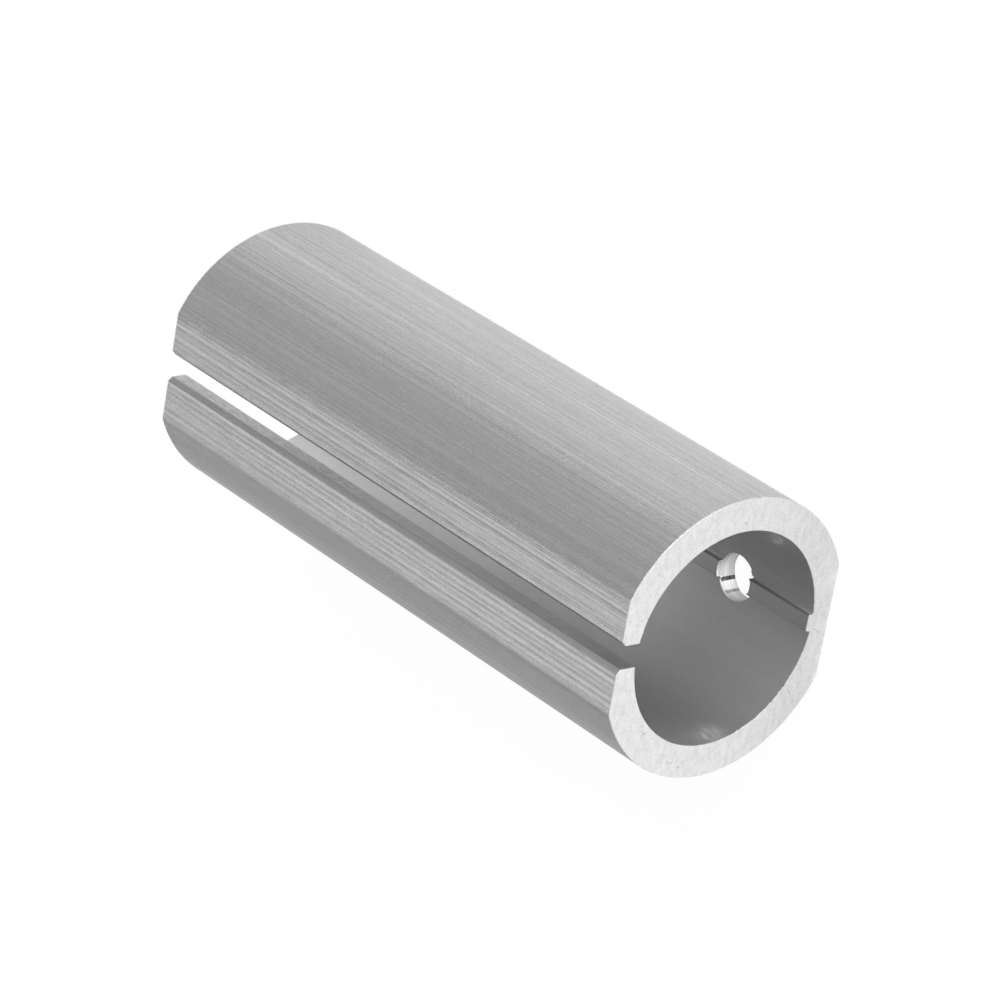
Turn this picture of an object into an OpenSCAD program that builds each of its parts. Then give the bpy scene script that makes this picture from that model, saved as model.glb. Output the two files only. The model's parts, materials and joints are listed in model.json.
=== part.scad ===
// Clamp sleeve: one straight length of extruded aluminium tube.
// Two flats run along the outside, a slot splits one of them from end to end,
// a low key rib stands in the bore opposite the slot, and a hole is drilled
// through the rib's side of the wall near one end.
// X runs along the bore, and Z points up through the slot.
// The origin is under the middle of the lower flat.

/* [Tube] */

// Length between the two sawn ends
length = 100; // [40:1:200]

// Outside diameter, over the two round sides
outer_d = 39.8; // [38:0.1:46]

// Width across the two parallel flats
across_flats = 36.4; // [34.6:0.1:37.4]

// Radius of the corner between a flat and a round side
corner_r = 1; // [0.2:0.1:2]

/* [Bore] */

// Diameter of the bore
bore_d = 30.5; // [24:0.1:32]

// Width of the key rib
rib_width = 2.4; // [1.6:0.1:4]

// Height of the rib's top above the lowest line of the bore
rib_height = 0.8; // [0.7:0.05:2]

// Radius of the rib's two top corners
rib_corner_r = 0.2; // [0.05:0.05:0.25]

// Radius of the fillets at the rib's two roots
rib_fillet_r = 0.3; // [0.1:0.05:0.35]

/* [Slot] */

// Width of the slot
slot_width = 3.3; // [1:0.1:6]

// Chamfer on the outer edge of each lip
lip_chamfer = 0.65; // [0.1:0.05:1]

/* [Cross hole] */

// Diameter of the drilled hole
hole_d = 6.6; // [3:0.1:12]

// Distance from the end face to the middle of the hole
hole_from_end = 15; // [8:0.5:30]

// Chamfer on the hole's outer mouth, in the lower flat
hole_chamfer = 0.5; // [0.1:0.05:0.8]

/* [Hidden] */

$fn = 180;

aluminium = [0.74, 0.75, 0.76];

// How far a cut runs past the face that it opens
past = 1;

outer_r = outer_d / 2;
bore_r = bore_d / 2;
flat_z = across_flats / 2;

// Middle of a corner's arc, which touches the flat and the round side
corner_z = flat_z - corner_r;
corner_y = sqrt(pow(outer_r - corner_r, 2) - pow(corner_z, 2));

// Turn from level to the line on which that arc meets the round side
corner_turn = atan2(corner_z, corner_y);

// Middle of a root fillet, which touches the bore and the rib's side
fillet_y = rib_width / 2 + rib_fillet_r;
fillet_z = sqrt(pow(bore_r - rib_fillet_r, 2) - pow(fillet_y, 2));

// Puts a shape on both sides of the section's upright middle line
module both_sides() {
    children();
    mirror([1, 0])
        children();
}

// What lies outside a round corner's arc, from the angle turn up to upright
module corner_waste(r, turn) {
    reach = 2 * r;
    difference() {
        polygon([
            [0, 0],
            reach * [cos(turn), sin(turn)],
            [reach, reach],
            [0, reach]
        ]);
        circle(r = r);
    }
}

// Outside of the section: a circle with two flats and four small corner arcs
module outline() {
    difference() {
        intersection() {
            circle(r = outer_r);
            square([outer_d, across_flats], center = true);
        }
        both_sides() {
            translate([corner_y, corner_z])
                corner_waste(corner_r, corner_turn);
            mirror([0, 1])
                translate([corner_y, corner_z])
                    corner_waste(corner_r, corner_turn);
        }
    }
}

// Key rib, drawn upright, with its foot below the wall of the bore
module rib() {
    half = rib_width / 2;
    foot = bore_r + past;
    top = -(bore_r - rib_height);
    meet = foot / (bore_r - rib_fillet_r);
    difference() {
        polygon([
            [-meet * fillet_y, -meet * fillet_z],
            [-fillet_y, -fillet_z],
            [-half, -fillet_z],
            [-half, top],
            [half, top],
            [half, -fillet_z],
            [fillet_y, -fillet_z],
            [meet * fillet_y, -meet * fillet_z]
        ]);
        both_sides() {
            translate([fillet_y, -fillet_z])
                circle(r = rib_fillet_r);
            translate([half - rib_corner_r, top - rib_corner_r])
                corner_waste(rib_corner_r, 0);
        }
    }
}

// Open part of the section: the bore, less the rib that stands in it
module hollow() {
    difference() {
        circle(r = bore_r);
        rib();
    }
}

// Slot with its two chamfered lips, open at the top
module slot() {
    half = slot_width / 2;
    flare = half + lip_chamfer + past;
    polygon([
        [-half, 0],
        [half, 0],
        [half, flat_z - lip_chamfer],
        [flare, flat_z + past],
        [-flare, flat_z + past],
        [-half, flat_z - lip_chamfer]
    ]);
}

// Whole section, as it leaves the die
module section() {
    difference() {
        outline();
        hollow();
        slot();
    }
}

// Drilled hole with its chamfered mouth, from below the lower flat up into the bore
module cross_hole() {
    wide_d = hole_d + 2 * (hole_chamfer + past);
    translate([length / 2 - hole_from_end, 0, -flat_z - past]) {
        cylinder(d = hole_d, h = flat_z + past);
        cylinder(d1 = wide_d, d2 = hole_d, h = hole_chamfer + past);
    }
}

module sleeve() {
    color(aluminium)
        translate([0, 0, flat_z])
            difference() {
                rotate([90, 0, 90])
                    translate([0, 0, -length / 2])
                        linear_extrude(length)
                            section();
                cross_hole();
            }
}

sleeve();
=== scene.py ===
# %% [markdown]
# # A clamp sleeve of extruded aluminium
# The sleeve is one length of thick tube, sawn from a long bar that was pressed
# through a die. This lesson shapes it as a workshop would: a round blank gets
# its flats, then the bore, the slot and the cross hole are cut. Last come the
# finishes: the drawn skin, the sawn ends, the bore and the drilled wall.
# The measured model is loaded first, and the main sizes are taken from it.

# %% Load the measured model
import json
import math
import random

import bmesh
import bpy
from mathutils import Matrix, Vector


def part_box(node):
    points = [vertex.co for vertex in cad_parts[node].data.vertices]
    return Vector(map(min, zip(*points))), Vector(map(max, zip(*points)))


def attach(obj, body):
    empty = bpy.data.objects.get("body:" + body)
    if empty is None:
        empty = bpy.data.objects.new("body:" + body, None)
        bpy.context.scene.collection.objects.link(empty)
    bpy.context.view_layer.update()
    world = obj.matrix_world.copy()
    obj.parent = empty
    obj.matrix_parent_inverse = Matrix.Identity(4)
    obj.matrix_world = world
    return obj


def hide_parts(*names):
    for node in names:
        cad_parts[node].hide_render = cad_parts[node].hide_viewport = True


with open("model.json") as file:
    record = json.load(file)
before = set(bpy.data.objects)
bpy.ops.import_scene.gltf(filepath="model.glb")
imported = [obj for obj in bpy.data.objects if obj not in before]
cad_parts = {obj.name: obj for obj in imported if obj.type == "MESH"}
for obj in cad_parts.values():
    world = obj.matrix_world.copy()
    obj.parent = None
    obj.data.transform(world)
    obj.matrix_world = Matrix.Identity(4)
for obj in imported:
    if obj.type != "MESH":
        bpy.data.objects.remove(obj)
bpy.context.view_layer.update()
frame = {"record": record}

# %% [markdown]
# ## Sizes
# The outside comes from the measured model's box, and the bore and the hole
# come from its mounts, so that the piece shaped here can't drift away from it.
# Only the rib, the slot and the small edges are given here as numbers. All of
# them are in metres, which is Blender's own unit.

# %% Sizes
MM = 0.001
MICRON = 0.001 * MM
low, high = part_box("sleeve")
mounts = {mount["name"]: mount for mount in frame["record"]["mounts"]}

LENGTH = high[0] - low[0]
OUTER_R = (high[1] - low[1]) / 2
FLAT = (high[2] - low[2]) / 2
AXIS_Z = low[2] + FLAT
BORE_R = mounts["keyed_bore"]["dims"]["r_mm"] * MM
HOLE_R = mounts["cross_hole"]["dims"]["r_mm"] * MM
HOLE_X = mounts["cross_hole"]["pos_m"][0]

CORNER_R = 1.0 * MM
RIB_WIDTH = 2.4 * MM
RIB_HEIGHT = 0.8 * MM
RIB_CORNER_R = 0.2 * MM
RIB_FILLET_R = 0.3 * MM
SLOT_WIDTH = 3.3 * MM
LIP_CHAMFER = 0.65 * MM
HOLE_CHAMFER = 0.5 * MM
PAST = 1.0 * MM

print("length", LENGTH, "outer radius", OUTER_R, "bore radius", BORE_R)

# %% [markdown]
# ## Helpers for the bench
# Operators act on all that is selected, and the loaded model arrives selected.
# So each step first lets go of everything and takes up one object. Edges and
# faces are then picked in code, by their place.

# %% Helpers that pick things up
def take(obj):
    """Makes one object the only one selected."""
    bpy.ops.object.select_all(action="DESELECT")
    obj.select_set(True)
    bpy.context.view_layer.objects.active = obj


def settle(name):
    """Names the new object and puts its place and turn into its mesh."""
    obj = bpy.context.object
    obj.name = obj.data.name = name
    bpy.ops.object.transform_apply(location=True, rotation=True, scale=True)
    return obj


def pick_edges(obj, wanted):
    """Opens the object for editing with the edges selected that wanted() accepts."""
    take(obj)
    bpy.ops.object.mode_set(mode="EDIT")
    bpy.ops.mesh.select_mode(type="EDGE")
    bpy.ops.mesh.select_all(action="DESELECT")
    mesh = bmesh.from_edit_mesh(obj.data)
    for edge in mesh.edges:
        if wanted(*(vert.co for vert in edge.verts)):
            edge.select = True
    count = sum(edge.select for edge in mesh.edges)
    bmesh.update_edit_mesh(obj.data)
    return count


def near(a, b, reach=0.01 * MM):
    """True where two sizes are the same."""
    return abs(a - b) < reach


def cut(body, tool):
    """Takes the tool's shape out of the body, and clears the tool away."""
    take(body)
    knife = body.modifiers.new("cut", "BOOLEAN")
    knife.operation = "DIFFERENCE"
    knife.solver = "EXACT"
    knife.object = tool
    bpy.ops.object.modifier_apply(modifier=knife.name)
    bpy.data.objects.remove(tool, do_unlink=True)
    print(body.name, "now has", len(body.data.polygons), "faces")

# %% [markdown]
# ## The blank
# The real bar gets its flats from the die. Here a cylinder is laid along X and
# two bisect cuts take off its top and bottom, which leaves true flat faces.
# Each of the four long corners gets a narrow bevel, because a die never leaves
# a knife edge.

# %% Round bar with two flats
def new_bar(name, radius, length, sides):
    """A round bar along X, about the sleeve's own axis."""
    bpy.ops.object.select_all(action="DESELECT")
    bpy.ops.mesh.primitive_cylinder_add(
        vertices=sides, radius=radius, depth=length,
        location=(0, 0, AXIS_Z), rotation=(0, math.radians(90), 0),
    )
    return settle(name)


sleeve = new_bar("sleeve_body", OUTER_R, LENGTH, sides=250)
for side in (1, -1):
    take(sleeve)
    bpy.ops.object.mode_set(mode="EDIT")
    bpy.ops.mesh.select_all(action="SELECT")
    bpy.ops.mesh.bisect(
        plane_co=(0, 0, AXIS_Z + side * FLAT), plane_no=(0, 0, side),
        use_fill=True, clear_outer=True, threshold=0.001 * MM,
    )
    bpy.ops.object.mode_set(mode="OBJECT")

corner_y = math.sqrt(OUTER_R ** 2 - FLAT ** 2)
corner_turn = math.acos(FLAT / OUTER_R)


def at_corner(a, b):
    """True for the long edges where a flat meets a round side."""
    along = abs(a.x - b.x) > LENGTH / 2
    return along and near(abs(a.y), corner_y, 0.05 * MM) and near(abs(a.z - AXIS_Z), FLAT)


print("corner edges", pick_edges(sleeve, at_corner))
bpy.ops.mesh.bevel(
    offset=CORNER_R * math.tan(corner_turn / 2), segments=3, affect="EDGES", clamp_overlap=False,
)
bpy.ops.object.mode_set(mode="OBJECT")

# %% [markdown]
# ## The bore and its rib
# A hole is easier to shape as the thing that fills it. The core is a round bar
# of the bore's size with a groove where the rib will stand. Rounding the
# groove's two mouth edges on the core gives the rib its root fillets, and
# rounding the bar that cuts the groove gives the rib its round top corners.

# %% Core of the bore, with the rib's groove
core = new_bar("core", BORE_R, LENGTH + 2 * PAST, sides=180)

rib_top = AXIS_Z - BORE_R + RIB_HEIGHT
rib_foot = AXIS_Z - BORE_R - PAST
bpy.ops.object.select_all(action="DESELECT")
bpy.ops.mesh.primitive_cube_add(size=1, location=(0, 0, (rib_top + rib_foot) / 2))
bpy.context.object.scale = (LENGTH + 4 * PAST, RIB_WIDTH, rib_top - rib_foot)
rib_bar = settle("rib_bar")


def on_rib_top(a, b):
    """True for the two long edges of the rib's top."""
    return abs(a.x - b.x) > LENGTH / 2 and near(a.z, rib_top) and near(b.z, rib_top)


print("rib top edges", pick_edges(rib_bar, on_rib_top))
bpy.ops.mesh.bevel(offset=RIB_CORNER_R, segments=4, affect="EDGES")
bpy.ops.object.mode_set(mode="OBJECT")
cut(core, rib_bar)


def at_groove_mouth(a, b):
    """True for the two long edges where the groove opens."""
    along = abs(a.x - b.x) > LENGTH / 2
    low_side = a.z < AXIS_Z - BORE_R + RIB_HEIGHT / 2
    return along and low_side and near(abs(a.y), RIB_WIDTH / 2)


print("groove mouth edges", pick_edges(core, at_groove_mouth))
bpy.ops.mesh.bevel(offset=RIB_FILLET_R, segments=4, affect="EDGES", clamp_overlap=False)
bpy.ops.object.mode_set(mode="OBJECT")
cut(sleeve, core)

# %% [markdown]
# ## The slot and the cross hole
# The slot's cutter is a plain bar whose top face is extruded upwards and
# widened, so that one cut leaves the slot and the chamfer on both lips.
# The hole is drilled from below, through the wall and the rib, and a bevel on
# its outer mouth stands for the countersink that takes off the burr there.

# %% Slot with chamfered lips
slot_top = AXIS_Z + FLAT - LIP_CHAMFER
bpy.ops.object.select_all(action="DESELECT")
bpy.ops.mesh.primitive_cube_add(size=1, location=(0, 0, (AXIS_Z + slot_top) / 2))
bpy.context.object.scale = (LENGTH + 2 * PAST, SLOT_WIDTH, slot_top - AXIS_Z)
slot_bar = settle("slot_bar")
take(slot_bar)
bpy.ops.object.mode_set(mode="EDIT")
bpy.ops.mesh.select_mode(type="FACE")
bpy.ops.mesh.select_all(action="DESELECT")
slot_mesh = bmesh.from_edit_mesh(slot_bar.data)
for face in slot_mesh.faces:
    face.select = face.normal.z > 0.9
bmesh.update_edit_mesh(slot_bar.data)
rise = LIP_CHAMFER + PAST
widen = 1 + 2 * rise / SLOT_WIDTH
bpy.ops.mesh.extrude_region_move(TRANSFORM_OT_translate={"value": (0, 0, rise)})
bpy.ops.transform.resize(value=(1, widen, 1), center_override=(0, 0, slot_top + rise))
bpy.ops.object.mode_set(mode="OBJECT")
cut(sleeve, slot_bar)

# %% Drilled cross hole
drill_top = AXIS_Z - BORE_R / 2
bpy.ops.object.select_all(action="DESELECT")
bpy.ops.mesh.primitive_cylinder_add(
    vertices=96, radius=HOLE_R, depth=drill_top + PAST,
    location=(HOLE_X, 0, (drill_top - PAST) / 2),
)
drill = settle("drill")
cut(sleeve, drill)


def on_outer_mouth(a, b):
    """True for the hole's edge on the lower flat."""
    radii = [math.hypot(v.x - HOLE_X, v.y) for v in (a, b)]
    return near(a.z, 0) and near(b.z, 0) and max(radii) < HOLE_R + HOLE_CHAMFER / 2


print("outer mouth edges", pick_edges(sleeve, on_outer_mouth))
bpy.ops.mesh.bevel(offset=HOLE_CHAMFER, segments=1, affect="EDGES", clamp_overlap=False)
bpy.ops.object.mode_set(mode="OBJECT")

# %% [markdown]
# ## Broken edges
# A sawn edge is never perfectly sharp: the blade and the deburring brush leave
# a narrow rim that catches the light. The rims of both ends and the slot's long
# edges are bevelled by about a tenth of a millimetre. The hole's inner mouth
# stays sharp, as the drill left it.

# %% Bevel the rims
RIM = 0.12 * MM


def on_end(a, b):
    """True for the edges of the two sawn faces."""
    return near(abs(a.x), LENGTH / 2) and near(abs(b.x), LENGTH / 2)


def on_lip(a, b):
    """True for the slot's long edges."""
    along = abs(a.x - b.x) > LENGTH / 4 and a.z > AXIS_Z + BORE_R / 2
    return along and abs(a.y) < SLOT_WIDTH / 2 + LIP_CHAMFER + 0.01 * MM


def on_rims(a, b):
    """True for every edge that gets broken."""
    return on_end(a, b) or on_lip(a, b)


print("rim edges", pick_edges(sleeve, on_rims))
bpy.ops.mesh.bevel(offset=RIM, segments=2, affect="EDGES", clamp_overlap=False)
bpy.ops.mesh.select_all(action="SELECT")
bpy.ops.mesh.remove_doubles(threshold=0.001 * MM)
bpy.ops.object.mode_set(mode="OBJECT")
take(sleeve)
bpy.ops.object.shade_smooth_by_angle(angle=math.radians(28))
print("sleeve has", len(sleeve.data.polygons), "faces")

# %% [markdown]
# ## Nicked rims
# Look closely at a sawn tube: its rims aren't clean circles, because the saw's
# teeth tear out tiny crumbs. Some of the rim's points are picked by a seeded
# random choice, so that each run picks the same ones. They are scaled about the
# tube's axis by up to two percent, or moved a tenth of a millimetre along it.

# %% Helpers that move points
def pick_points(obj, wanted):
    """Opens the object for editing with the points selected that wanted() accepts."""
    take(obj)
    bpy.ops.object.mode_set(mode="EDIT")
    bpy.ops.mesh.select_mode(type="VERT")
    bpy.ops.mesh.select_all(action="DESELECT")
    mesh = bmesh.from_edit_mesh(obj.data)
    count = 0
    for vert in mesh.verts:
        if wanted(vert.co):
            vert.select = True
            count += 1
    bmesh.update_edit_mesh(obj.data)
    return count


def stretch_points(wanted, value, centre=(0, 0, AXIS_Z)):
    """Scales the sleeve's points that wanted() accepts, and says how many there were."""
    count = pick_points(sleeve, wanted)
    bpy.ops.transform.resize(value=value, center_override=centre)
    bpy.ops.object.mode_set(mode="OBJECT")
    return count

# %% Uneven rims
chance = random.Random(7)


def on_rim(point, radius):
    """True for the points of a sawn face's rim, which has this radius."""
    across = math.hypot(point.y, point.z - AXIS_Z)
    return near(abs(point.x), LENGTH / 2, 0.001 * MM) and near(across, radius, 0.03 * MM)


for radius, grow, share in (
    (BORE_R + RIM, 1.009, 0.16), (BORE_R + RIM, 0.993, 0.14), (BORE_R + RIM, 1.018, 0.04),
    (OUTER_R - RIM, 0.996, 0.18), (OUTER_R - RIM, 1.003, 0.1), (OUTER_R - RIM, 0.99, 0.03),
):
    count = stretch_points(
        lambda point: on_rim(point, radius) and chance.random() < share, (1, grow, grow))
    print(count, "rim points moved")


def behind_rim(point):
    """True for the points a rim's width behind a sawn face, on a round wall."""
    across = math.hypot(point.y, point.z - AXIS_Z)
    on_wall = near(across, BORE_R, 0.005 * MM) or near(across, OUTER_R, 0.005 * MM)
    return on_wall and near(abs(point.x), LENGTH / 2 - RIM, 0.005 * MM)


for stretch, share in ((0.9974, 0.22), (0.9986, 0.25), (1.0014, 0.2)):
    count = stretch_points(
        lambda point: behind_rim(point) and chance.random() < share, (stretch, 1, 1))
    print(count, "points behind the rims moved")

# %% [markdown]
# ## Burrs and a torn mouth
# The drill came up from below and broke through into the bore. It pushed up
# three burrs, at the rib's two corners and on the wall, where the points of the
# hole's rim are pulled into the hole. On the other side it tore the mouth a
# little longer. Those points move along the tube only, which keeps them on the
# bore's wall, so that the long wall stays straight.

# %% Drill burrs and the torn mouth
def on_bore(y):
    """Height of the bore's wall at this distance from its middle line."""
    return AXIS_Z - math.sqrt(BORE_R ** 2 - y ** 2)


for y, z, reach, pull in (
    (RIB_WIDTH / 2, rib_top, 0.28 * MM, 0.12 * MM),
    (-RIB_WIDTH / 2, rib_top, 0.28 * MM, 0.15 * MM),
    (1.75 * MM, on_bore(1.75 * MM), 0.4 * MM, 0.2 * MM),
):
    burr = Vector((HOLE_X + math.sqrt(HOLE_R ** 2 - y ** 2), y, z))
    count = pick_points(sleeve, lambda point: (point - burr).length < reach)
    bpy.ops.transform.translate(value=(-pull, 0, pull * 0.4))
    bpy.ops.object.mode_set(mode="OBJECT")
    print(count, "burr points pulled")


def on_torn_mouth(point):
    """True for the hole's inner rim on the side away from the burrs."""
    at_rim = near(math.hypot(point.x - HOLE_X, point.y), HOLE_R)
    past_rib = point.y < -RIB_WIDTH / 2 - RIB_FILLET_R
    return at_rim and past_rib and near(point.z, on_bore(point.y), 0.05 * MM)


for side, stretch in ((1, 1.04), (-1, 1.1)):
    count = stretch_points(
        lambda point: on_torn_mouth(point) and (point.x - HOLE_X) * side > 0,
        (stretch, 1, 1), (HOLE_X, 0, 0))
    print(count, "points of the torn mouth moved")

# %% [markdown]
# ## Even shading
# Smooth shading blends the direction of neighbouring faces, and on a long face
# beside a tiny bevel that blend would run over the whole length like a false
# bulge. Weighted normals let the large faces decide, so the walls and the flats
# stay straight and only the narrow bevels look round.

# %% Weighted normals
take(sleeve)
even = sleeve.modifiers.new("even_shading", "WEIGHTED_NORMAL")
even.mode = "FACE_AREA"
even.keep_sharp = True
bpy.ops.object.modifier_apply(modifier=even.name)
print("sleeve has its own normals:", sleeve.data.has_custom_normals)

# %% [markdown]
# ## Wiring materials as sums
# Finishes are made of node maths. Writing the maths as Python sums keeps it
# short: this class wraps one socket, and each plus, minus, times, power or
# comparison adds a Math node behind the scenes.

# %% Class that turns sums into nodes
class Wire:
    """One output socket in a net of nodes."""

    def __init__(self, net, socket):
        self.net = net
        self.socket = socket

    def sum_with(self, operation, first, second=0.0):
        return self.net.node(
            "ShaderNodeMath", {"operation": operation}, {0: first, 1: second})

    def __add__(self, other):
        return self.sum_with("ADD", self, other)

    __radd__ = __add__

    def __sub__(self, other):
        return self.sum_with("SUBTRACT", self, other)

    def __rsub__(self, other):
        return self.sum_with("SUBTRACT", other, self)

    def __mul__(self, other):
        return self.sum_with("MULTIPLY", self, other)

    __rmul__ = __mul__

    def __pow__(self, power):
        return self.sum_with("POWER", self, power)

    def __gt__(self, other):
        return self.sum_with("GREATER_THAN", self, other)

    def __abs__(self):
        return self.sum_with("ABSOLUTE", self)

# %% Class that makes the nodes
class Net:
    """The node tree of one material or of the world."""

    def __init__(self, owner):
        owner.use_nodes = True
        self.tree = owner.node_tree
        self.tree.nodes.clear()

    def node(self, kind, settings=None, sockets=None, out=0):
        """Adds a node: its settings come first, then values or wires."""
        made = self.tree.nodes.new(kind)
        for key, value in (settings or {}).items():
            setattr(made, key, value)
        for key, value in (sockets or {}).items():
            if isinstance(value, Wire):
                self.tree.links.new(value.socket, made.inputs[key])
            else:
                made.inputs[key].default_value = value
        return Wire(self, made.outputs[out]) if made.outputs else made

# %% [markdown]
# ## Metal
# All the finishes are the same aluminium, so one function makes the shader and
# each finish only says how its colour, roughness and height change. The height
# is in metres: real tool marks are a few thousandths of a millimetre deep.

# %% Helpers for metal
def metal(name):
    """A new material and its net."""
    material = bpy.data.materials.new(name)
    sleeve.data.materials.append(material)
    return Net(material)


def finish_metal(net, colour, roughness, height, metallic=1.0):
    """Ends a material with a metal surface; height is in metres, and a lower metallic paints pale
    glints.
    """
    bump = net.node(
        "ShaderNodeBump", None, {"Strength": 1.0, "Distance": 1.0, "Height": height})
    shader = net.node(
        "ShaderNodeBsdfPrincipled", None,
        {"Base Color": colour, "Metallic": metallic, "Roughness": roughness, "Normal": bump})
    net.node("ShaderNodeOutputMaterial", None, {"Surface": shader})
    print(sleeve.data.materials[-1].name, "is made of", len(net.tree.nodes), "nodes")

# %% [markdown]
# ## Patterns in space
# A pattern is a number that changes from place to place. Here the place is the
# object's own coordinates, in metres, so the scale of a noise is simply how many
# steps it makes per metre: 4000 gives a grain of a quarter of a millimetre, and
# a small number along X draws that grain out into a line.

# %% Helpers for patterns
def object_place(net):
    """The object's own coordinates, in metres."""
    return net.node("ShaderNodeTexCoord", None, None, 3)


def axis(net, number):
    """One of the object's coordinates: 0 along, 1 across, 2 up."""
    return net.node("ShaderNodeSeparateXYZ", None, {0: object_place(net)}, number)


def per_metre(net, scale, turn=0.0, shift=0.0):
    """Object coordinates counted in steps per metre, turned about the bar's axis."""
    return net.node("ShaderNodeMapping", None, {
        "Vector": object_place(net), "Scale": scale,
        "Rotation": (turn, 0, 0), "Location": (shift, shift, shift)})


def noise(net, place, detail=2.0):
    """Soft noise that swings about zero."""
    made = net.node("ShaderNodeTexNoise", None, {"Vector": place, "Scale": 1.0, "Detail": detail})
    return made - 0.5


def smooth(net, value, start, end):
    """Goes softly from 0 at start to 1 at end, and either may be the larger one."""
    return net.node("ShaderNodeMapRange", {"interpolation_type": "SMOOTHSTEP"}, {
        "Value": value, "From Min": start, "From Max": end})


def dots(net, place, size):
    """Small scattered spots: 1 in the middle of each, 0 between them."""
    away = net.node("ShaderNodeTexVoronoi", None, {"Vector": place, "Scale": 1.0})
    return smooth(net, away, size, size * 0.4)


def spot(net, centre, radius):
    """One soft spot about a point of the sleeve."""
    away = net.node(
        "ShaderNodeVectorMath", {"operation": "DISTANCE"}, {0: object_place(net), 1: centre}, 1)
    return smooth(net, away, radius, radius * 0.2)

# %% [markdown]
# ## Drawn skin
# Hot metal pressed through a die comes out with lengthwise lines, because every
# tiny chip on the die's edge scores the bar from end to end. Noise that is drawn
# out along X gives such lines. They are strongest on the two flats, so a mask
# made from the height raises them there. Short dashes are later scratches.

# %% Lines of the die
net = metal("drawn_skin")
across = axis(net, 1)
above_axis = axis(net, 2) - AXIS_Z
on_flat = smooth(net, abs(above_axis), FLAT - 0.3 * MM, FLAT - 0.02 * MM)
wide_score = noise(net, per_metre(net, (2, 950, 950)), 1.0)
fine_score = noise(net, per_metre(net, (3, 2500, 2500), 0.0, 2.2), 1.0)
die_lines = smooth(net, wide_score * 0.3 + fine_score, -0.14, 0.14) - 0.5
fading = 0.9 + noise(net, per_metre(net, (30, 500, 500)), 1.0) * 1.4
hair_lines = noise(net, per_metre(net, (10, 4300, 4300)), 1.0)
clusters = smooth(net, noise(net, per_metre(net, (3, 330, 330), 0.0, 7.7), 1.0), -0.02, 0.16)
bright_hairs = smooth(net, noise(net, per_metre(net, (12, 3600, 3600), 0.0, 9.1), 0.0), 0.1, 0.24)
lines = (
    die_lines * fading * (0.05 + on_flat * 0.05)
    + hair_lines * (0.18 + clusters * 0.12 + on_flat * 0.32)
    + bright_hairs * (0.04 + clusters * 0.08))
print("die lines lie about", round(1 / 2500 / MM, 2), "mm apart")
print("hair lines lie about", round(1 / 4300 / MM, 2), "mm apart")

# %% [markdown]
# The slotted flat has a few strong ridges and grooves, where the die was worn
# into teeth about 0.8 mm apart. Each is a soft stripe at its own distance in
# millimetres from the middle of the slot: bright where it is a ridge, dark where
# it is a groove.

# %% Strong lines beside the slot
RIDGES = {7.04: 0.1, 6.4: 0.75, 5.28: 0.5, 4.8: 1.0, 4.35: 0.4, 3.6: 0.8, 2.9: 0.3, 2.35: 0.9,
          -2.5: 0.3, -3.36: 0.8, -4.24: 1.0, -5.04: 0.4, -5.92: 0.7, -6.8: 0.8, -7.68: 0.6}
GROOVES = {7.84: 0.9, 7.4: 0.9, 6.04: 1.1, 5.7: 0.9, 4.08: 0.5, 3.2: 0.3,
           -3.0: 0.9, -3.8: 0.4, -4.64: 0.7, -5.44: 0.5, -6.4: 0.8, -7.36: 0.7}


def stripe(place, half_width):
    """1 along a lengthwise line at this distance from the middle of the slot."""
    return smooth(net, abs(across - place * MM), half_width, 0.05 * MM)


upper_side = smooth(net, above_axis, FLAT - 0.1 * MM, FLAT - 0.02 * MM)
ridges = sum(stripe(place, 0.3 * MM) * depth for place, depth in RIDGES.items())
grooves = sum(stripe(place, 0.36 * MM) * depth for place, depth in GROOVES.items())
strong = (ridges * 0.085 - grooves * 0.085) * (0.8 + fading * 0.25) * upper_side
print(len(RIDGES), "ridges and", len(GROOVES), "grooves beside the slot")

# %% [markdown]
# A round side has fewer and much finer lines, often in pairs, a bright one with
# a dark one beside it. These are placed by the angle above level, and their
# strength is positive for a bright line and negative for a dark one. On the
# other round side, a band beside each flat is painted a shade darker, as
# painted shade.

# %% Thin lines on the round side
THIN_LINES = {
    7.0: 0.6, 5.5: -0.5, 18.3: 0.5, 21.8: 0.4, 26.3: 0.8, 25.5: -0.4, 28.3: 0.6, 27.3: -0.5,
    30.8: 0.8, 31.5: -0.4, 38.8: 0.5, 41.0: 0.4, 52.8: 0.6, 51.8: -0.4, 56.3: 0.5, 57.3: -0.4,
    63.0: 0.5}
around = net.node("ShaderNodeMath", {"operation": "ARCTAN2"}, {0: above_axis, 1: across})


def thin_line(degrees):
    """1 along a very thin line at this angle on the round side."""
    away = abs(around - math.radians(degrees))
    return smooth(net, away, 0.13 * MM / OUTER_R, 0.02 * MM / OUTER_R)


# On the minus Y side a band beside each flat is painted a shade darker: painted shade.
from_painted_shade_band = abs(abs(around) - math.radians(129.5))
painted_shade_band = smooth(net, from_painted_shade_band, math.radians(11.5), math.radians(4))
thin = sum(thin_line(degrees) * strength for degrees, strength in THIN_LINES.items())
thin = thin * (0.6 + fading * 0.45)
print(len(THIN_LINES), "thin lines on the round side")
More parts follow.
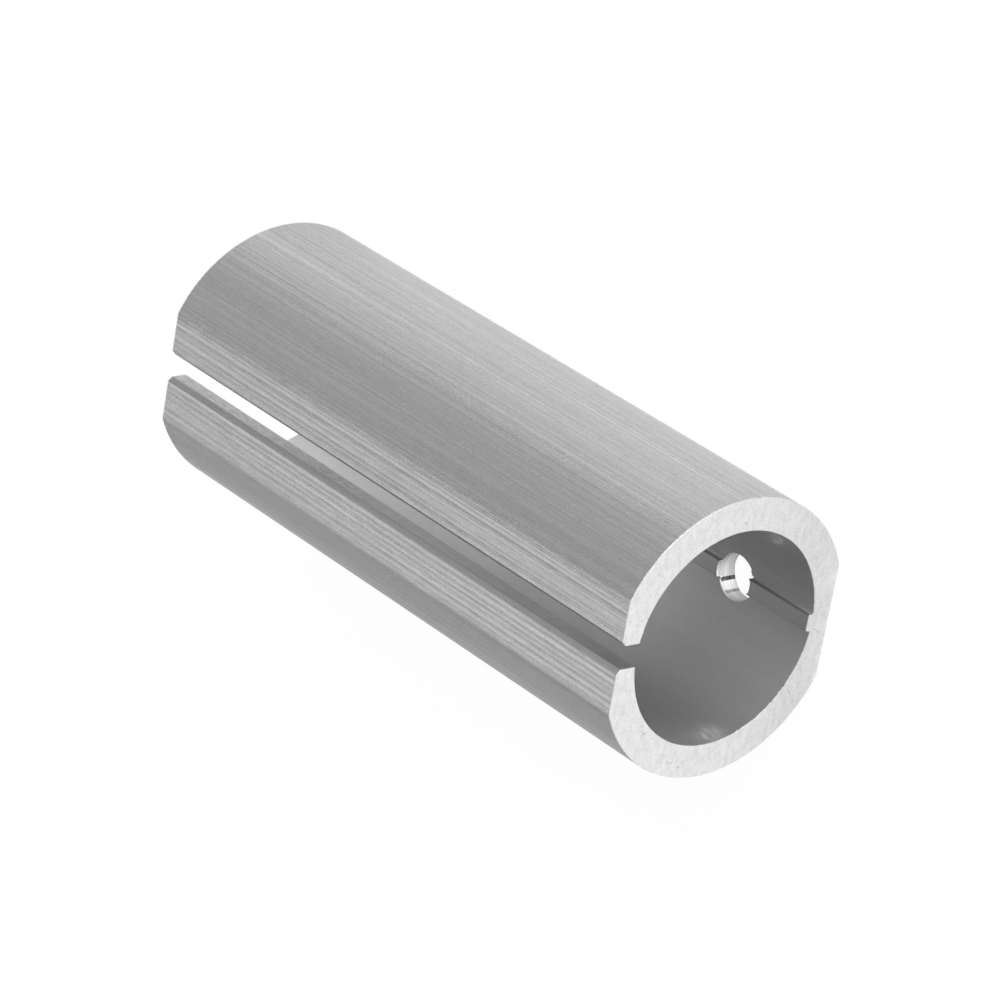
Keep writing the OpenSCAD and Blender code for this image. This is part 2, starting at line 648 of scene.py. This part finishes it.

# %% [markdown]
# Between the lines the skin has a fine grain, short dashes from handling, a few
# dots that are worn dark, a few brighter dots that are painted glints, and a
# cloud so soft that it only shows over the whole length. The lips of the slot
# are a little darker. All of it is added to one middle grey, and the same noises
# give the height, so that what looks like a line also feels like one.

# %% Grain, scratches and the finish itself
dashes = noise(net, per_metre(net, (350, 3800, 3800), 0.0, 4.1), 2.0)
grain = noise(net, per_metre(net, (4200, 4600, 4600)), 1.0)
cloud = noise(net, per_metre(net, (22, 70, 70)), 2.0)
scratches = dots(net, per_metre(net, (60, 420, 420)), 0.07)
# Brighter dots that stand for glints: painted glints.
painted_glints = dots(net, per_metre(net, (50, 380, 380), 0.0, 3.7), 0.06)
rough_places = 0.65 + clusters * 0.25
specks = (
    dashes * (rough_places + on_flat) * 0.2 + grain * rough_places * 0.48
    + painted_glints * 0.07 - scratches * 0.1)
lip_reach = SLOT_WIDTH / 2 + LIP_CHAMFER
# The slot's lips are made a little darker.
darker_lip = smooth(net, abs(across), lip_reach + 0.05 * MM, lip_reach) * (above_axis > 0.0)
colour = (
    lines + specks + strong + thin * 0.095
    - painted_shade_band * 0.09 + cloud * 0.06 - darker_lip * 0.13 + 0.71)
roughness = 0.38 + hair_lines * 0.1 + scratches * 0.1
height = (
    die_lines * (MICRON + on_flat * (2 * MICRON))
    + (hair_lines + dashes) * (2 * MICRON) + strong * (10 * MICRON))
finish_metal(net, colour, roughness, height)

# %% [markdown]
# ## Bore wall
# The mandrel that shapes the bore is polished, so the wall is smooth and only
# faintly lined. The first centimetres behind the mouth by the hole are painted
# darker, as painted shade, and painted shade darkens the rib's upper corners. A
# chip was dragged over the wall near the hole and left a row of little dents.
# About them, and on a place at the mouth, the metal is made less metallic, which
# paints pale glints.

# %% Lines, dents, dust, painted shade and painted glints of the bore
net = metal("bore_wall")
faint_lines = noise(net, per_metre(net, (4, 700, 700)), 1.0)
dust = noise(net, per_metre(net, (1500, 2500, 2500)), 1.0)
# Painted shade: the wall is painted darker in the first centimetres behind the mouth by the hole.
painted_shade_at_mouth = smooth(net, axis(net, 0), LENGTH * 0.2, LENGTH * 0.36) * 0.15

DENTS_X = 44.8 * MM
DENTS_TURN = math.radians(-47.8)
DENTS = {-1.4: 0.4, -0.7: 0.6, 0.1: 0.9, 0.9: 0.6, 1.7: 0.4, 3.4: 0.3}


def on_wall(step):
    """A point of the bore's wall, this many millimetres along the row of dents."""
    turn = DENTS_TURN + step * MM / BORE_R
    return DENTS_X + step * MM, BORE_R * math.cos(turn), AXIS_Z + BORE_R * math.sin(turn)


dents_and_glints = sum(spot(net, on_wall(step), radius * MM) for step, radius in DENTS.items())
# Spots about the dents and at the mouth, used below as painted glints.
dent_glint_halo = spot(net, on_wall(0), 3 * MM)
painted_mouth_glint = spot(net, (48.2 * MM, -15.05 * MM, AXIS_Z - 2.5 * MM), 3.4 * MM)
mouth_glint_specks = painted_mouth_glint * dots(net, per_metre(net, (500, 1300, 1300)), 0.5)
print(len(DENTS), "dents in the row")

# %% [markdown]
# The painted shade on the rib is a band about each upper corner, kept off the
# lower wall by its height. It is much darker on one corner than on the other,
# which a soft step across the middle of the rib decides.

# %% Painted shade on the rib, and the finish of the bore
on_rib_edge = smooth(net, abs(abs(axis(net, 1)) - 1.14 * MM), 0.17 * MM, 0.07 * MM)
above_wall = axis(net, 2) - (AXIS_Z - BORE_R)
rib_only = smooth(net, above_wall, 0.36 * MM, 0.5 * MM) * smooth(net, above_wall, 2 * MM, MM)
# Painted shade along the rib's upper corners, much stronger on the plus Y corner.
painted_rib_shade = on_rib_edge * rib_only
stronger_shade_side = smooth(net, axis(net, 1), -0.5 * MM, 0.5 * MM)
colour = 0.95 - painted_shade_at_mouth + faint_lines * 0.06 + dust * 0.08 - painted_rib_shade * (0.06 + stronger_shade_side * 0.26)
roughness = 0.42 + faint_lines * 0.05
height = faint_lines * MICRON + dents_and_glints * (0.4 * MM)
# Lower metallic at the dents, about them and at the mouth makes pale painted glints.
metallic = 1 - (dent_glint_halo * 0.22 + dents_and_glints * 0.5 + painted_mouth_glint * 0.12 + mouth_glint_specks * 0.16)
finish_metal(net, colour, roughness, height, metallic)

# %% [markdown]
# ## Slot walls
# The slot was cut with a thin saw that ran along the tube. Its teeth leave a
# mottled wall with short marks across the cut. The cut began at the far end,
# where the metal is torn, and ran out clean at the end by the hole.

# %% Finish of the slot
net = metal("slot_wall")
mottle = noise(net, per_metre(net, (700, 1800, 1800)), 3.0)
tooth_marks = noise(net, per_metre(net, (1600, 120, 120)), 1.0)
# The wall is painted darker near the end by the hole: painted shade.
painted_shade_near_mouth = smooth(net, axis(net, 0), LENGTH * 0.35, LENGTH * 0.5)
torn_part = smooth(net, axis(net, 0), LENGTH * 0.1, -LENGTH * 0.2)
colour = (
    0.92 - painted_shade_near_mouth * 0.2 + mottle * (0.16 + torn_part * 0.5)
    + tooth_marks * 0.12 - torn_part * 0.15)
height = (mottle + tooth_marks) * (2 * MICRON + torn_part * (10 * MICRON))
finish_metal(net, colour, 0.42, height)

# %% [markdown]
# ## Sawn ends
# The saw leaves a bright, finely torn face. A fine grain and larger blotches
# make the torn metal. The round blade, whose centre lies far outside the tube,
# leaves faint arcs. Pits come in a small size all over and a larger one here
# and there, and a second noise gathers them into patches.

# %% Torn metal, arcs and pits
net = metal("sawn_end")
torn = noise(net, per_metre(net, (1, 2600, 2600)), 3.0)
blotch = noise(net, per_metre(net, (1, 500, 1300), math.radians(40)), 3.0)
patches = smooth(net, noise(net, per_metre(net, (1, 160, 160), 0.0, 1.3), 1.0), -0.05, 0.2)
BLADE_CENTRE = (0.0, 0.11, 0.1)
ARCS_PER_METRE = 2300
flattened = net.node(
    "ShaderNodeVectorMath", {"operation": "MULTIPLY"}, {0: object_place(net), 1: (0, 1, 1)})
from_blade = net.node(
    "ShaderNodeVectorMath", {"operation": "DISTANCE"}, {0: flattened, 1: BLADE_CENTRE}, 1)
across_arcs = net.node("ShaderNodeCombineXYZ", None, {
    0: from_blade * ARCS_PER_METRE, 1: axis(net, 1) * 90})
arcs = noise(net, across_arcs, 2.0)
small_pits = dots(net, per_metre(net, (1500, 1500, 1500)), 0.22)
pits = dots(net, per_metre(net, (700, 700, 700), 0.4), 0.2)
print("the saw's arcs lie about", round(1 / ARCS_PER_METRE / MM, 2), "mm apart")

# %% [markdown]
# The stray scratches on the end with the hole are placed one by one. Each is a
# thin, pointed streak, given by its middle, its turn and its half length. The
# plane is turned so that the streak lies level, and then stretched, which makes
# a round spot as long and thin as the scratch.

# %% Stray scratches
SCRATCHES = (
    (10.9, 13.6, 60, 1.3), (8.3, 14.8, 40, 0.9), (16.9, 5.4, -35, 1.6), (16.2, -6.2, 10, 1.1),
    (-1.4, -16.6, 55, 1.2), (-9.8, -13.6, 35, 1.5), (-15.6, 7.2, 75, 1.4), (14.2, -10.6, -15, 1.4),
)


def scratch(y, z, turn, half_length):
    """A thin streak on the end face, by its place from the bore's axis in millimetres."""
    middle = net.node("ShaderNodeVectorMath", {"operation": "SUBTRACT"}, {
        0: flattened, 1: (0, y * MM, AXIS_Z + z * MM)})
    level = net.node("ShaderNodeMapping", None, {
        "Vector": middle, "Rotation": (-math.radians(turn), 0, 0)})
    stretched = net.node("ShaderNodeVectorMath", {"operation": "MULTIPLY"}, {
        0: level, 1: (0, 1 / (half_length * MM), 1 / (0.11 * MM))})
    away = net.node("ShaderNodeVectorMath", {"operation": "LENGTH"}, {0: stretched}, 1)
    return smooth(net, away, 1.0, 0.3)


near_end = axis(net, 0) > 0
stray = sum(scratch(*place) for place in SCRATCHES) * near_end
print(len(SCRATCHES), "scratches on the end by the hole")

# %% [markdown]
# The ends' finish adds up the torn metal and takes away the pits and scratches.
# The bevel that breaks the rim is a little brighter than the face, because a
# brush went over it.

# %% Finish of the ends
marks = (small_pits * 0.16 + pits * 0.24) * patches + stray * 0.16
rim = smooth(net, abs(axis(net, 0)), LENGTH / 2 - 0.01 * MM, LENGTH / 2 - 0.04 * MM)
colour = 0.93 + torn * 0.26 + blotch * 0.3 + arcs * 0.08 + rim * 0.1 - marks
height = (torn + arcs + blotch) * (4 * MICRON) - marks * (20 * MICRON)
finish_metal(net, colour, 0.5 + torn * 0.2, height)

# %% [markdown]
# ## Drilled wall
# A twist drill feeds forwards as it turns, and so its wall has fine rings. A
# bright band with a dark one on each side runs down the wall: painted
# reflections, placed by the turn about the hole's own axis. The wall's top
# quarter of a millimetre, at the inner mouth's edge, is painted bright as a
# glint.

# %% Finish of the cross hole
net = metal("drilled_wall")
rings = noise(net, per_metre(net, (300, 300, 2600)), 2.0)
turned = net.node(
    "ShaderNodeMath", {"operation": "ARCTAN2"}, {0: axis(net, 1), 1: HOLE_X - axis(net, 0)})


def facet(middle, half_width):
    """1 on a strip of the wall, given by its turn in degrees."""
    away = abs(turned - math.radians(middle))
    return smooth(net, away, math.radians(half_width * 1.2), math.radians(half_width * 0.8))


# Bright and dark bands down the wall: painted reflections.
painted_reflection_bands = facet(-45, 11) * 0.28 - facet(-29, 5) * 0.58 - facet(-61, 4) * 0.3
in_rib = smooth(net, abs(axis(net, 1)), RIB_WIDTH / 2, RIB_WIDTH / 2 - 0.05 * MM)
from_axis = net.node("ShaderNodeVectorMath", {"operation": "LENGTH"}, {
    0: net.node("ShaderNodeCombineXYZ", None, {0: axis(net, 1), 1: axis(net, 2) - AXIS_Z})}, 1)
below_mouth = (from_axis - BORE_R) * (1 - in_rib) + (rib_top - axis(net, 2)) * in_rib
# The top of the wall at the inner mouth is painted bright: a painted glint.
edge = smooth(net, below_mouth, 0.28 * MM, 0.18 * MM)
wall = 0.7 + rings * 0.6 + painted_reflection_bands
colour = wall * (1 - edge) + edge * 0.98
finish_metal(net, colour, 0.24 + rings * 0.1, rings * (3 * MICRON))

# %% [markdown]
# ## Which face gets which finish
# The finishes are the mesh's material slots, in the order in which they were
# made. A face is given its slot by its place: the ends by X, the hole by its
# distance from the hole's axis, the bore by its distance from the tube's axis.

# %% Give each face its finish
SKIN, BORE, SLOT, SAWN, DRILLED = range(5)


def surface_of(face):
    """Which finish a face gets, by where it is."""
    centre = face.center
    across = math.hypot(centre.y, centre.z - AXIS_Z)
    from_hole = math.hypot(centre.x - HOLE_X, centre.y)
    if abs(centre.x) > LENGTH / 2 - RIM * 1.01:
        return SAWN
    in_slot = centre.z > AXIS_Z + BORE_R / 2 and abs(centre.y) < SLOT_WIDTH / 2 + 0.01 * MM
    if in_slot and centre.z < AXIS_Z + FLAT - LIP_CHAMFER + RIM:
        return SLOT
    reach = HOLE_R + HOLE_CHAMFER if centre.z < HOLE_CHAMFER else HOLE_R * 1.08
    if centre.z < AXIS_Z - BORE_R / 2 and from_hole < reach and abs(face.normal.z) < 0.9:
        return DRILLED
    if across < BORE_R + 0.01 * MM:
        return BORE
    return SKIN


for face in sleeve.data.polygons:
    face.material_index = surface_of(face)
for number, material in enumerate(sleeve.data.materials):
    count = sum(face.material_index == number for face in sleeve.data.polygons)
    print(material.name, "is on", count, "faces")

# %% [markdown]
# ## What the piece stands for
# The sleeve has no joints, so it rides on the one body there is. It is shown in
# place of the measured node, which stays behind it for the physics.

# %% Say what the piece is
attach(sleeve, "root")
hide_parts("sleeve")
print(sleeve.name, "stands in for the measured sleeve")

# %% [markdown]
# ## Floor
# The sleeve stands on white paper. The camera should see it white, yet with the
# sleeve's soft shadow, so for camera rays a glow is mixed with matt white. The
# glow is a touch stronger than white, to make up for the share of matt in it.
# Mirrored rays get only a little of that glow, and more in two places: under the
# drilled hole, whose wall mirrors the paper right below it, and before the end
# by the hole, which mirrors the open paper there.

# %% White floor
bpy.ops.object.select_all(action="DESELECT")
bpy.ops.mesh.primitive_plane_add(size=8, location=(0, 0, -0.00002))
floor = settle("floor")
paper = bpy.data.materials.new("floor_paper")
net = Net(paper)


def larger(net, first, second):
    """The larger of two values."""
    return net.node("ShaderNodeMath", {"operation": "MAXIMUM"}, {0: first, 1: second})


def light_path(net):
    """Camera rays, and mirrored or passing rays, as two masks."""
    camera_ray, glossy_ray, passing_ray = (
        net.node("ShaderNodeLightPath", None, None, number) for number in (0, 3, 6))
    return camera_ray, larger(net, glossy_ray, passing_ray)


seen, mirrored = light_path(net)
below_hole = spot(net, (HOLE_X, 0, 0), HOLE_R + 1.0 * MM)
before_end = smooth(net, axis(net, 0), LENGTH * 0.5, LENGTH * 0.7) * 0.55
bright_places = larger(net, below_hole, before_end)
share = larger(net, seen * 0.94, mirrored * larger(net, bright_places, 0.025))
matt = net.node("ShaderNodeBsdfDiffuse", None, {"Color": (0.9, 0.9, 0.9, 1)})
glow = net.node("ShaderNodeEmission", None, {"Color": (1, 1, 1, 1), "Strength": 1.03})
both = net.node("ShaderNodeMixShader", None, {0: share, 1: matt, 2: glow})
net.node("ShaderNodeOutputMaterial", None, {"Surface": both})
floor.data.materials.append(paper)
print("the floor is", floor.dimensions.x, "m wide")

# %% [markdown]
# ## Sky
# A weak, even sky fills the shadows, a little brighter towards the horizon. The
# camera itself sees it white, so that the picture's ground is white all over.

# %% Sky
world = bpy.data.worlds.new("studio")
bpy.context.scene.world = world
net = Net(world)
way = net.node("ShaderNodeTexCoord", None, None, 0)
height = net.node("ShaderNodeSeparateXYZ", None, {0: way}, 2)
haze = (1 - abs(height)) ** 4
light = 0.15 + haze * 0.312
seen, mirrored = light_path(net)
strength = larger(net, light, larger(net, seen, mirrored * 0.025))
sky = net.node("ShaderNodeBackground", None, {"Color": (1, 1, 1, 1), "Strength": strength})
net.node("ShaderNodeOutputWorld", None, {"Surface": sky})
print("the sky is made of", len(net.tree.nodes), "nodes")

# %% [markdown]
# ## Lamps
# Metal shows what it mirrors, so a small bright lamp would burn a white stripe
# into it. These lamps are large squares instead. The key lamp and the low panel
# at the side light the paper that the round side mirrors. The front lamps light
# the sawn end and shine into the bore, and the others are weak and stand behind
# the sleeve, where the flats, the slot and the upper round side mirror them.

# %% Lamps
def panel(name, azimuth, elevation, away, size, power):
    """A square lamp that faces the sleeve, placed by angles as seen from it."""
    light = bpy.data.lights.new(name, "AREA")
    light.shape = "SQUARE"
    light.size = size
    light.energy = power
    lamp = bpy.data.objects.new(name, light)
    bpy.context.collection.objects.link(lamp)
    azimuth, elevation = math.radians(azimuth), math.radians(elevation)
    level = math.cos(elevation)
    out = Vector((math.cos(azimuth) * level, math.sin(azimuth) * level, math.sin(elevation)))
    lamp.location = out * away
    lamp.rotation_euler = (-out).to_track_quat("-Z", "Y").to_euler()


LAMPS = {
    "key_light": (65, 30, 2.0, 1.6, 22.4),
    "front_key_light": (45, 24, 2.0, 1.6, 12.0),
    "front_panel": (0, 14, 1.5, 1.0, 4.7),
    "low_side_panel": (90, 12, 1.5, 1.2, 3.4),
    "back_panel": (209, 39, 1.5, 1.2, 1.62),
    "high_back_panel": (209, 62, 1.5, 1.2, 1.05),
    "far_panel": (180, 8, 1.5, 0.8, 2.3),
    "side_panel": (150, 25, 1.5, 1.2, 0.59),
    "high_side_panel": (135, 50, 1.5, 1.2, 0.48),
}
for name, place in LAMPS.items():
    panel(name, *place)
print(len(LAMPS), "lamps")

# %% [markdown]
# ## Camera
# The camera's place, turn and lens were found by fitting the sleeve's edges to
# the photograph. It was rolled when the picture was taken, so its own up isn't
# the sleeve's up, and its three directions are written out and made a turn.

# %% Camera
camera = bpy.data.objects.new("camera", bpy.data.cameras.new("camera"))
bpy.context.collection.objects.link(camera)
camera.data.lens = 176.2
camera.data.sensor_width = 36
stand = Vector((0.45719975, 0.24974045, 0.43513018))
right = Vector((0.61714206, 0.16222979, -0.76994622))
up = Vector((-0.39116126, 0.91229222, -0.12130859))
back = Vector((0.68273608, 0.37603776, 0.62647191))
turned = Matrix((right, up, back)).transposed().to_4x4()
camera.matrix_world = Matrix.Translation(stand) @ turned
bpy.context.scene.camera = camera
bpy.context.scene.view_settings.view_transform = "Standard"
print("the camera is", round(stand.length, 3), "m away")
